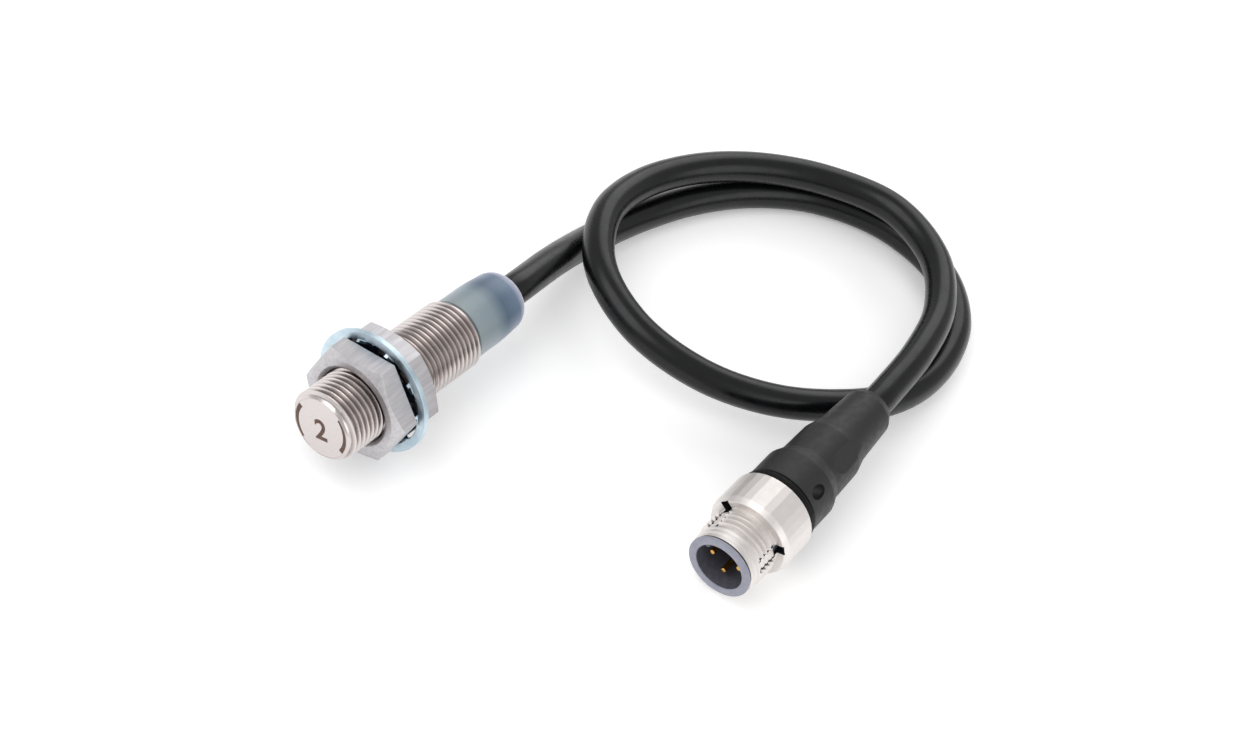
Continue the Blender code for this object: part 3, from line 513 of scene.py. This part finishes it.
placePiece("lockWasher", makeWasher(), sensorPlace, zincPlate, "washer", ["lock_washer"], 30,
           darkZinc)
print("lock washer made")

# rear cap
cap = {"skirtStart": 28.0, "skirt": 4.6, "cavity": 3.9, "start": 31.2, "radius": 5.4, "straightEnd": 36.8,
       "roundStart": 41.1, "roundRadius": 5.1, "end": 43.5, "endRadius": 3.9, "hole": 3.0, "step": 39.3,
       "edge": 0.15}


def makeCap():
    rounding = []
    steepest = math.radians(75)
    for part in range(1, 17):
        angle = steepest * part / 16
        drop = (1 - math.cos(angle)) / (1 - math.cos(steepest))
        rounding.append((cap["roundRadius"] - (cap["roundRadius"] - cap["endRadius"]) * drop,
                         cap["roundStart"] + (cap["end"] - cap["roundStart"]) * math.sin(angle)
                         / math.sin(steepest)))
    shape = roundShape([
        (cap["cavity"], cap["skirtStart"]), (cap["skirt"], cap["skirtStart"]), (cap["skirt"], cap["start"]),
        (cap["radius"], cap["start"]), (cap["radius"], cap["straightEnd"]),
        ((cap["radius"] * 2 + cap["roundRadius"]) / 3, (cap["straightEnd"] + cap["roundStart"]) / 2),
        (cap["roundRadius"], cap["roundStart"]), *rounding, (cap["hole"], cap["end"]),
        (cap["hole"], cap["step"]), (cap["cavity"], cap["step"])])
    softenEdges(shape, cap["edge"], 3, 50)
    return shape


placePiece("rearCap", makeCap(), sensorPlace, frostedCap, "sensor", ["rear_cap"])
print("rear cap made")

# plug
insulator = {"socket": 4.2, "flange": 5.6, "flangeLength": 0.55, "body": 4.85, "length": 16.5,
             "pocket": 3.6, "floorRear": 12.3, "socketDepth": 7.0, "keyTurn": math.radians(125),
             "keyWidth": 0.9, "keyHeight": 0.65, "keyStart": 0.4, "edge": 0.12, "pinHole": 0.8,
             "holeLength": 8, "holeMiddle": 9.65, "keyEdge": 0.12, "keySink": 0.15, "keyOverlap": 0.4,
             "socketShadeStart": 0.15, "socketShadeEnd": 9, "socketShadeMargin": 0.02}
pin = {"radius": 0.5, "circle": 2.5, "start": 1.7, "end": 13.3, "tip": 0.25, "turn": math.radians(80)}


def pinCentre(number):
    angle = pin["turn"] + number * math.pi / 2
    return (pin["circle"] * math.cos(angle), pin["circle"] * math.sin(angle), 0)


def makeInsulator():
    shape = roundShape([
        (insulator["socket"], 0), (insulator["flange"], 0), (insulator["flange"], insulator["flangeLength"]),
        (insulator["body"], insulator["flangeLength"]), (insulator["body"], insulator["length"]),
        (insulator["pocket"], insulator["length"]), (insulator["pocket"], insulator["floorRear"]),
        (0, insulator["floorRear"]), (0, insulator["socketDepth"]),
        (insulator["socket"], insulator["socketDepth"])])
    softenEdges(shape, insulator["edge"], 2, 50)
    keyLength = insulator["socketDepth"] - insulator["keyStart"] + insulator["keyOverlap"]
    keyMiddle = insulator["socket"] - insulator["keyHeight"] / 2 + insulator["keySink"]
    key = bmesh.new()
    bmesh.ops.create_cube(key, size=1.0, matrix=Matrix.Rotation(insulator["keyTurn"], 4, "Z")
                          @ Matrix.Translation((keyMiddle, 0, insulator["keyStart"] + keyLength / 2))
                          @ Matrix.Diagonal((insulator["keyHeight"] + 2 * insulator["keySink"],
                                             insulator["keyWidth"], keyLength, 1)))
    softenEdges(key, insulator["keyEdge"], 2)
    shape = combineShapes(shape, key, "UNION")
    for number in range(4):
        hole = bmesh.new()
        bmesh.ops.create_cone(hole, cap_ends=True, segments=24, radius1=insulator["pinHole"],
                              radius2=insulator["pinHole"], depth=insulator["holeLength"],
                              matrix=Matrix.Translation(pinCentre(number))
                              @ Matrix.Translation((0, 0, insulator["holeMiddle"])))
        shape = combineShapes(shape, hole, "DIFFERENCE")
    # painted shade: faces inside the socket take the darker finish
    for item in shape.faces:
        spot = item.calc_center_median()
        within = math.hypot(spot.x, spot.y) < insulator["socket"] + insulator["socketShadeMargin"]
        if within and insulator["socketShadeStart"] < spot.z < insulator["socketShadeEnd"]:
            item.material_index = 1
    return shape


def makePin():
    tip = [(pin["radius"] - pin["tip"] * (1 - math.sin(part * math.pi / 12)),
            pin["start"] + pin["tip"] * (1 - math.cos(part * math.pi / 12))) for part in range(0, 7)]
    return roundShape([(0, pin["start"]), *tip, (pin["radius"], pin["end"]), (0, pin["end"])], 32)


placePiece("contactInsulator", makeInsulator(), plugPlace, greyNylon, "sensor", ["contact_insulator"],
           inner=socketNylonShade)
for number in range(4):
    placePiece(f"contactPin{number + 1}", makePin(), plugPlace @ Matrix.Translation(pinCentre(number)),
               goldPlate, "sensor", [f"contact_pin_{number + 1}"])
print("insulator and pins made")

collar = {"threadDiameter": 12.0, "threadDepth": 0.55, "pitch": 1.0, "hole": 5.15, "front": 0.85,
          "lead": 5.72, "leadEnd": 2.9, "threadEnd": 6.5, "undercut": 5.55, "gripFront": 7.7,
          "grip": 7.35, "rear": 15.0, "chamfer": 0.5, "flats": 36, "slotCount": 3,
          "slotTurn": math.radians(3), "slotWidth": 2.4, "slotStart": 2.9, "slotEnd": 7.1,
          "slotFloor": 5.42, "grooveWidth": 0.3, "grooveDepth": 0.14, "grooveInset": 0.03,
          "grooveReach": 0.3, "grooveGap": 0.04, "windowStart": 6.9, "windowEnd": 8.6,
          "windowTop": 6.9, "windowWidth": 1.6, "leadSlope": 1.2, "joinOverlap": 0.1, "ringEdge": 0.08}


def widestThread(along, angle):
    lead = collar["lead"] - max(0, collar["front"] + 0.3 - along)
    if along < collar["leadEnd"]:
        return lead
    return min(lead + (along - collar["leadEnd"]) * collar["leadSlope"], collar["threadDiameter"] / 2)


def widestGrip(along, angle):
    if along < collar["gripFront"] - 0.01:
        return collar["grip"]
    sector = fullTurn / collar["flats"]
    fromFlat = (angle % sector) - sector / 2
    return collar["grip"] * math.cos(sector / 2) / math.cos(fromFlat)


def slotTurning(number):
    return Matrix.Rotation(collar["slotTurn"] + number * fullTurn / collar["slotCount"], 4, "Z")


def makeCollar():
    sleeveEnd = collar["threadEnd"] + collar["joinOverlap"]
    sleeve = threadedShape(collar, collar["front"], sleeveEnd)
    limitRadius(sleeve, widestThread)
    for along in (collar["front"], sleeveEnd):
        bmesh.ops.edgeloop_fill(sleeve, edges=openEdges(sleeve, along))
    bmesh.ops.recalc_face_normals(sleeve, faces=sleeve.faces)
    bore = bmesh.new()
    bmesh.ops.create_cone(bore, cap_ends=True, segments=96, radius1=collar["hole"], radius2=collar["hole"],
                          depth=20)
    sleeve = combineShapes(sleeve, bore, "DIFFERENCE")
    rear = collar["rear"]
    edge = collar["chamfer"]
    ring = roundShape([
        (collar["hole"], collar["threadEnd"]), (collar["undercut"], collar["threadEnd"]),
        (collar["undercut"], collar["gripFront"]), (collar["grip"] - edge, collar["gripFront"]),
        (collar["grip"], collar["gripFront"] + 2 * edge), (collar["grip"], rear - edge / 2),
        (collar["grip"] - edge / 2, rear), (collar["hole"], rear)], collar["flats"] * 4)
    limitRadius(ring, widestGrip)
    softenEdges(ring, collar["ringEdge"], 2, 35)
    shape = combineShapes(sleeve, ring, "UNION")
    for number in range(collar["slotCount"]):
        turn = slotTurning(number)
        for low, high, start, end, width in (
                (collar["slotFloor"], 7.0, collar["slotStart"], collar["slotEnd"], collar["slotWidth"]),
                (collar["hole"] - 0.5, collar["windowTop"], collar["windowStart"], collar["windowEnd"],
                 collar["windowWidth"])):
            tool = bmesh.new()
            bmesh.ops.create_cube(tool, size=1.0, matrix=turn
                                  @ Matrix.Translation(((low + high) / 2, 0, (start + end) / 2))
                                  @ Matrix.Diagonal((high - low, width, end - start, 1)))
            shape = combineShapes(shape, tool, "DIFFERENCE")
    # a fine groove runs along each slot's two sides and across its front end
    grooves = bmesh.new()
    side = (collar["slotWidth"] - collar["grooveWidth"]) / 2 - collar["grooveInset"]
    front = collar["slotStart"] + collar["grooveInset"]
    length = collar["slotEnd"] - front
    for number in range(collar["slotCount"]):
        turn = slotTurning(number)
        for across, width, start, long in (
                (side, collar["grooveWidth"], front, length),
                (-side, collar["grooveWidth"], front, length),
                (0, 2 * side - collar["grooveWidth"] - collar["grooveGap"], front, collar["grooveWidth"])):
            bmesh.ops.create_cube(grooves, size=1.0, matrix=turn @ Matrix.Translation(
                (collar["slotFloor"] + collar["grooveReach"] / 2 - collar["grooveDepth"], across,
                 start + long / 2)) @ Matrix.Diagonal((collar["grooveReach"], width, long, 1)))
    shape = combineShapes(shape, grooves, "DIFFERENCE")
    sector = fullTurn / collar["slotCount"]
    # painted shade: faces of the bore, the windows and the slots' grooves take the dark finish
    for item in shape.faces:
        spot = item.calc_center_median()
        radius = math.hypot(spot.x, spot.y)
        fromSlot = (math.atan2(spot.y, spot.x) - collar["slotTurn"] + sector / 2) % sector - sector / 2
        inWindow = (collar["windowStart"] - 0.01 < spot.z < collar["windowEnd"] + 0.01
                    and radius < collar["windowTop"] + 0.01
                    and abs(fromSlot) * radius < collar["windowWidth"] / 2 + 0.02)
        inGroove = (collar["slotStart"] - 0.01 < spot.z < collar["slotEnd"]
                    and radius * math.cos(fromSlot) < collar["slotFloor"] - 0.01
                    and abs(math.sin(fromSlot)) * radius < collar["slotWidth"] / 2 + 0.01)
        if radius < collar["hole"] + 0.02 or inWindow or inGroove:
            item.material_index = 1
    return shape


placePiece("couplingCollar", makeCollar(), plugPlace, nickelPlate, "collar", ["coupling_collar"],
           7, darkBore)
print("collar made")

seal = {"inner": 5.15, "outer": 6.85, "start": 15.3, "end": 16.5, "edge": 0.3}
shape = roundShape([(seal["inner"], seal["start"]), (seal["outer"], seal["start"]),
                    (seal["outer"], seal["end"]), (seal["inner"], seal["end"])])
softenEdges(shape, seal["edge"], 3)
placePiece("plugSeal", shape, plugPlace, blackRubber, "sensor", ["plug_seal"])

grip = {"bore": 5.15, "start": 16.8, "radius": 6.6, "wideEnd": 22.4, "neckStart": 24.6, "neck": 5.75,
        "neckEnd": 31.2, "neckEndRadius": 5.55, "bootStart": 34.2, "boot": 4.8, "taperEnd": 42.2,
        "bootEnd": 4.25, "end": 43.8, "mouth": 3.4, "hole": 3.0, "mouldRear": 24.3, "edge": 0.35,
        "dimpleAlong": 19.3, "dimpleTurn": math.radians(218), "dimple": (1.35, 1.1, 1.5),
        "ovalAlong": 29.0, "ovalTurn": math.radians(217), "oval": (0.5, 2.2, 3.6), "ovalDepth": 0.32}


def makeGrip():
    shape = roundShape([
        (grip["bore"], grip["start"]), (grip["radius"], grip["start"]), (grip["radius"], grip["wideEnd"]),
        (grip["neck"], grip["neckStart"]), (grip["neckEndRadius"], grip["neckEnd"]),
        (grip["boot"], grip["bootStart"]), (grip["bootEnd"], grip["taperEnd"]), (grip["mouth"], grip["end"]),
        (grip["hole"], grip["end"]), (grip["hole"], grip["mouldRear"]), (grip["bore"], grip["mouldRear"])])
    softenEdges(shape, grip["edge"], 4, 12)
    # injection gate dimple, then the shallow blank oval on the neck
    for along, turn, size, reach in (
            (grip["dimpleAlong"], grip["dimpleTurn"], grip["dimple"], grip["radius"]),
            (grip["ovalAlong"], grip["ovalTurn"], grip["oval"],
             grip["neck"] - 0.1 + grip["oval"][0] - grip["ovalDepth"])):
        tool = bmesh.new()
        place = (Matrix.Rotation(turn, 4, "Z") @ Matrix.Translation((reach, 0, along))
                 @ Matrix.Diagonal((*size, 1)))
        if size[0] < 0.8:
            bmesh.ops.create_cone(tool, cap_ends=True, segments=48, radius1=1, radius2=1, depth=2,
                                  matrix=place @ Matrix.Rotation(math.pi / 2, 4, "Y"))
        else:
            bmesh.ops.create_uvsphere(tool, u_segments=32, v_segments=24, radius=1, matrix=place)
        shape = combineShapes(shape, tool, "DIFFERENCE")
    return shape


placePiece("plugGrip", makeGrip(), plugPlace, gripPlastic, "sensor", ["plug_grip"], 30)
print("grip made")

# cable, from inside the cap to inside the boot; distance behind the cap's end, sideways, height
cable = {
    "diameter": 5.4, "insideCap": 6.5, "lead": 4.0, "insidePlug": 15.0, "spacing": 1.0,
    "samplesPerSpan": 20, "roundness": 8,
    "route": (
        (15.5, 1.1, 7.8), (27.4, 1.8, 4.2), (39.7, 0.6, 2.85), (51.7, -2.8, 2.8), (62.6, -8.4, 2.8),
        (71.8, -16.8, 2.8), (77.2, -28.3, 2.9), (76.1, -40.9, 3.3), (68.1, -50.0, 3.6),
        (56.1, -53.8, 3.7), (43.9, -52.9, 4.3), (32.8, -47.5, 5.4), (23.3, -39.5, 6.4),
        (16.6, -29.3, 7.8), (14.3, -17.2, 9.3), (18.3, -5.8, 10.4), (28.3, 1.3, 10.3),
        (40.4, 2.6, 9.1), (52.3, -0.8, 8.6), (62.5, -7.6, 8.6), (70.5, -17.1, 8.8), (74.4, -28.7, 9.6),
        (70.6, -40.3, 10.1), (60.9, -47.9, 10.7), (49.0, -51.4, 11.1)),
}


def smoothRoute(route, spacing):
    fine = []
    for i in range(len(route) - 1):
        before, start, end = route[max(i - 1, 0)], route[i], route[i + 1]
        after = route[min(i + 2, len(route) - 1)]
        for part in range(cable["samplesPerSpan"]):
            t = part / cable["samplesPerSpan"]
            fine.append(0.5 * (2 * start + (end - before) * t
                               + (2 * before - 5 * start + 4 * end - after) * t ** 2
                               + (3 * start - before - 3 * end + after) * t ** 3))
    fine.append(route[-1])
    lengths = [0.0]
    for a, b in zip(fine, fine[1:]):
        lengths.append(lengths[-1] + (b - a).length)
    count = round(lengths[-1] / spacing)
    points = []
    place = 0
    for number in range(count + 1):
        wanted = lengths[-1] * number / count
        while place < len(fine) - 2 and lengths[place + 1] < wanted:
            place += 1
        share = (wanted - lengths[place]) / (lengths[place + 1] - lengths[place])
        points.append(fine[place].lerp(fine[place + 1], share))
    return points, lengths[-1]


capEnd = sensorPlace @ Vector((0, 0, cap["end"]))
knots = [capEnd + Vector((along * millimetre, 0, 0)) for along in (-cable["insideCap"], 0, cable["lead"])]
for behind, sideways, height in cable["route"]:
    knots.append(Vector((capEnd.x + behind * millimetre, sideways * millimetre, height * millimetre)))
for beyond in (cable["lead"], 0, -cable["insidePlug"] / 2, -cable["insidePlug"]):
    knots.append(plugPlace @ Vector((0, 0, grip["end"] + beyond)))
cablePoints, cableLength = smoothRoute(knots, cable["spacing"] * millimetre)
cableCurve = bpy.data.curves.new("cable", "CURVE")
cableCurve.dimensions = "3D"
cableCurve.bevel_depth = cable["diameter"] / 2 * millimetre
cableCurve.bevel_resolution = cable["roundness"]
cableCurve.use_fill_caps = True
spline = cableCurve.splines.new("POLY")
spline.points.add(len(cablePoints) - 1)
for point, spot in zip(spline.points, cablePoints):
    point.co = (*spot, 1.0)
spline.use_smooth = True
cableCurve.materials.append(cablePlastic)
cablePiece = bpy.data.objects.new("cable", cableCurve)
bpy.context.scene.collection.objects.link(cablePiece)
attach(cablePiece, "sensor")
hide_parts("cable_jacket")
print("cable made,", round(cableLength, 4), "m")

# pieces inside, which keep their CAD shapes
insideFinishes = {
    # node: name of the finish, hex colours, roughness, metallic, patch size in mm
    "ferrite_core": ("sinteredFerrite", ("#2A2A2D", "#38383B"), 0.6, 0.0, 0.4),
    "coil_bobbin": ("naturalNylonBobbin", ("#CFCDC4", "#DAD8D0"), 0.45, 0.0, 1.0),
    "coil_winding": ("enamelledCopper", ("#9A4A22", "#C07040"), 0.3, 1.0, 0.15),
    "core_holder": ("naturalNylonHolder", ("#CFCDC4", "#DAD8D0"), 0.45, 0.0, 1.0),
    "circuit_board": ("greenSolderMask", ("#0B4A22", "#15602E"), 0.4, 0.0, 0.6),
    "oscillator_chip": ("epoxyMouldingOscillator", ("#1D1D1E", "#262627"), 0.5, 0.0, 0.2),
    "output_transistor": ("epoxyMouldingTransistor", ("#1D1D1E", "#262627"), 0.5, 0.0, 0.2),
    "protection_diode": ("epoxyMouldingDiode", ("#1D1D1E", "#262627"), 0.5, 0.0, 0.2),
    "trim_resistor": ("thickFilmResistor", ("#141414", "#20201F"), 0.45, 0.0, 0.2),
    "supply_capacitor": ("ceramicSupplyCapacitor", ("#A98A60", "#B8996D"), 0.4, 0.0, 0.4),
    "filter_capacitor": ("ceramicFilterCapacitor", ("#A98A60", "#B8996D"), 0.4, 0.0, 0.4),
    "indicator_led": ("amberLampResin", ("#E08A1E", "#F0A23A"), 0.2, 0.0, 0.5),
    "cap_seal": ("nitrileRubberSeal", ("#0E0E0F", "#171718"), 0.6, 0.0, 0.5),
    "potting_resin": ("castResin", ("#8A9CA2", "#96A8AE"), 0.4, 0.0, 1.5),
    "cable_crimp": ("tinPlatedCrimp", ("#B0B2B4", "#C2C4C6"), 0.35, 1.0, 0.5),
    "inner_mould": ("nylonInnerMould", ("#CFCDC4", "#DAD8D0"), 0.45, 0.0, 1.0),
    "wire_brown": ("brownPvcWire", ("#4A2A18", "#5A3520"), 0.45, 0.0, 0.6),
    "wire_black": ("blackPvcWire", ("#151516", "#1E1E20"), 0.45, 0.0, 0.6),
    "wire_blue": ("bluePvcWire", ("#1C4A8C", "#2457A0"), 0.45, 0.0, 0.6),
}
for key, (name, colours, roughness, metallic, patch) in insideFinishes.items():
    material, shader = newFinish(name, colours[0], roughness, metallic)
    varyColour(material, shader, colours, patch)
    for node in [key] if key in frame["nodes"] else [f"sensor_{key}", f"plug_{key}"]:
        mesh = frame["nodes"][node].data
        mesh.materials.clear()
        mesh.materials.append(material)
print("inner pieces finished")

# floor, light and camera
stage = {"floorSize": 4.0, "floorColour": "#F7F7F7", "worldColour": "#FFFFFF", "worldStrength": 0.62,
         "floorGlow": 0.26, "lightAim": (0.03, -0.02, 0.01)}
shape = bmesh.new()
bmesh.ops.create_grid(shape, x_segments=1, y_segments=1, size=stage["floorSize"] / 2)
floorMesh = bpy.data.meshes.new("floor")
shape.to_mesh(floorMesh)
shape.free()
floorPaint, shader = newFinish("paleFloorPaint", stage["floorColour"], 0.8)
shader.inputs["Emission Color"].default_value = (1, 1, 1, 1)
shader.inputs["Emission Strength"].default_value = stage["floorGlow"]
floorMesh.materials.append(floorPaint)
floor = bpy.data.objects.new("floor", floorMesh)
bpy.context.scene.collection.objects.link(floor)
world = bpy.data.worlds.new("studio")
world.use_nodes = True
world.node_tree.nodes["Background"].inputs["Color"].default_value = linearColour(stage["worldColour"])
world.node_tree.nodes["Background"].inputs["Strength"].default_value = stage["worldStrength"]
bpy.context.scene.world = world
lights = {
    # name: place, size, watts
    "keyLight": ((-0.55, 0.35, 0.85), 1.0, 4.5),
    "fillLight": ((0.05, -1.0, 0.5), 0.9, 2.5),
    "backLight": ((0.8, 0.3, 0.6), 0.8, 2.5),
}
aim = Vector(stage["lightAim"])
for name, (place, size, watts) in lights.items():
    light = bpy.data.lights.new(name, "AREA")
    light.shape = "DISK"
    light.size = size
    light.energy = watts
    lamp = bpy.data.objects.new(name, light)
    lamp.location = place
    lamp.rotation_euler = (aim - Vector(place)).to_track_quat("-Z", "Y").to_euler()
    bpy.context.scene.collection.objects.link(lamp)

camera = {"place": (-0.261129, -0.127852, 0.330280), "lens": 80.747,
          "right": (0.59981, -0.74464, 0.29282), "up": (0.46845, 0.62349, 0.62594)}
cameraData = bpy.data.cameras.new("camera")
cameraData.lens = camera["lens"]
cameraData.clip_start = 0.01
cameraObject = bpy.data.objects.new("camera", cameraData)
right = Vector(camera["right"]).normalized()
up = Vector(camera["up"]).normalized()
back = right.cross(up).normalized()
cameraObject.matrix_world = Matrix.Translation(camera["place"]) @ Matrix(
    (right, up, back)).transposed().to_4x4()
bpy.context.scene.collection.objects.link(cameraObject)
bpy.context.scene.camera = cameraObject
bpy.context.scene.view_settings.view_transform = "Standard"
print("stage set")
